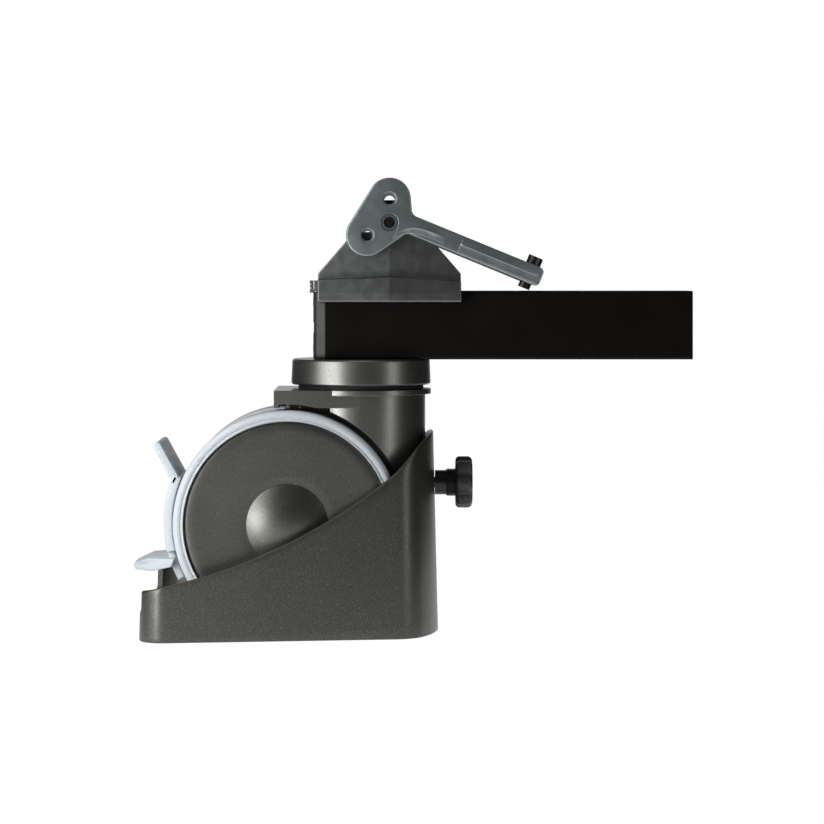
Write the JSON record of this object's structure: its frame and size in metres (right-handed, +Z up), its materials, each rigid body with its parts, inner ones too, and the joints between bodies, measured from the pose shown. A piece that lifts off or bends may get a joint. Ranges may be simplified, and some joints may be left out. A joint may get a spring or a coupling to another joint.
{
  "type": "dolly castor station",
  "caption": "Leg-end castor station of a camera dolly: square arm, thrust bearing swivel, braked twin wheel, sliding cable guard with clamp knob and a foot clamp lever.",
  "frame": {"origin": "centre of the square arm's open end, where the dolly's centre holds it", "axes": "+X out of the open end along the arm, away from the wheels; +Z up from the floor; +Y across the arm, so the front wheel is on -Y"},
  "size_m": [0.3113, 0.1268, 0.2529],
  "materials": {
    "black_coat": "satin black powder coat",
    "satin_grey": "satin moulded",
    "dark_plate": "satin black",
    "zinc_screws": "zinc plated",
    "fleck_paint": "dark warm grey paint with fine metal flecks",
    "steel": "turned",
    "race_steel": "ground and polished",
    "bearing_steel": "ground",
    "pin_steel": "ground",
    "clip_steel": "phosphated spring steel",
    "black_screws": "black oxide",
    "grey_casting": "grey painted casting",
    "blue_grey_casting": "blue-grey painted casting",
    "black_block": "satin black",
    "black_rubber": "moulded",
    "bronze": "turned bearing bronze",
    "brass_insert": "turned brass",
    "bush_plastic": "moulded bearing plastic",
    "grey_tread": "light grey elastic tread",
    "grey_core": "moulded wheel core",
    "satin_cover": "satin dark grey with fine flecks",
    "brake_plastic": "smooth light grey moulding",
    "knob_plastic": "fine grained moulding",
    "spacer_plastic": "moulded"
  },
  "bodies": {
    "arm": {"arm_tube": "black_coat", "arm_end_cap": "satin_grey", "end_plate": "dark_plate", "end_plate_screws": "zinc_screws", "plate_hook": "dark_plate", "bearing_disc": "fleck_paint", "nut_plate": "steel", "disc_screws": "black_screws", "kingpin": "steel", "kingpin_washer": "steel", "kingpin_nut": "steel", "race_upper": "race_steel", "clamp_body": "grey_casting", "clamp_bolts": "black_screws", "pivot_block": "black_block", "block_screws": "black_screws", "pivot_pin": "pin_steel"},
    "castor": {"castor_housing": "fleck_paint", "dust_ring": "black_rubber", "stem_bush": "bronze", "race_lower": "race_steel", "thrust_balls": "race_steel", "axle": "steel", "axle_spacers": "steel", "axle_clips": "clip_steel", "brake_pin": "pin_steel", "brake_spring": "clip_steel", "thread_insert": "brass_insert"},
    "lever": {"lever_yoke": "blue_grey_casting", "lever_bushes": "bush_plastic", "stop_bolt": "black_screws", "stop_nut": "black_screws"},
    "front_wheel": {"front_tyre": "grey_tread", "front_rim": "grey_core", "front_bearings": "bearing_steel", "front_cover": "satin_cover", "front_hub_cap": "satin_cover"},
    "rear_wheel": {"rear_tyre": "grey_tread", "rear_rim": "grey_core", "rear_bearings": "bearing_steel", "rear_cover": "satin_cover", "rear_hub_cap": "satin_cover"},
    "brake": {"brake_rocker": "brake_plastic", "brake_pads": "black_rubber"},
    "guard": {"cable_guard": "fleck_paint"},
    "knob": {"knob_handle": "knob_plastic", "knob_stud": "steel", "knob_spacer": "spacer_plastic"}
  },
  "joints": [
    {"name": "castor_swivel", "type": "hinge", "parent": "arm", "child": "castor", "pos_m": [-0.184, 0, -0.0356], "axis": [0, 0, 1], "continuous": true},
    {"name": "front_wheel_spin", "type": "hinge", "parent": "castor", "child": "front_wheel", "pos_m": [-0.2243, 0, -0.1088], "axis": [0, 1, 0], "continuous": true},
    {"name": "rear_wheel_spin", "type": "hinge", "parent": "castor", "child": "rear_wheel", "pos_m": [-0.2243, 0, -0.1088], "axis": [0, 1, 0], "continuous": true},
    {"name": "brake_press", "type": "hinge", "parent": "castor", "child": "brake", "pos_m": [-0.272, 0, -0.1093], "axis": [0, -1, 0], "range_deg": [0, 2.6]},
    {"name": "guard_slide", "type": "slide", "parent": "castor", "child": "guard", "axis": [0, 0, 1], "range_m": [-0.0005, 0.003]},
    {"name": "knob_turn", "type": "hinge", "parent": "castor", "child": "knob", "pos_m": [-0.134, 0, -0.0883], "axis": [1, 0, 0], "continuous": true},
    {"name": "lever_swing", "type": "hinge", "parent": "arm", "child": "lever", "pos_m": [-0.1681, 0, 0.0569], "axis": [0, -1, 0], "range_deg": [0, 100]}
  ]
}
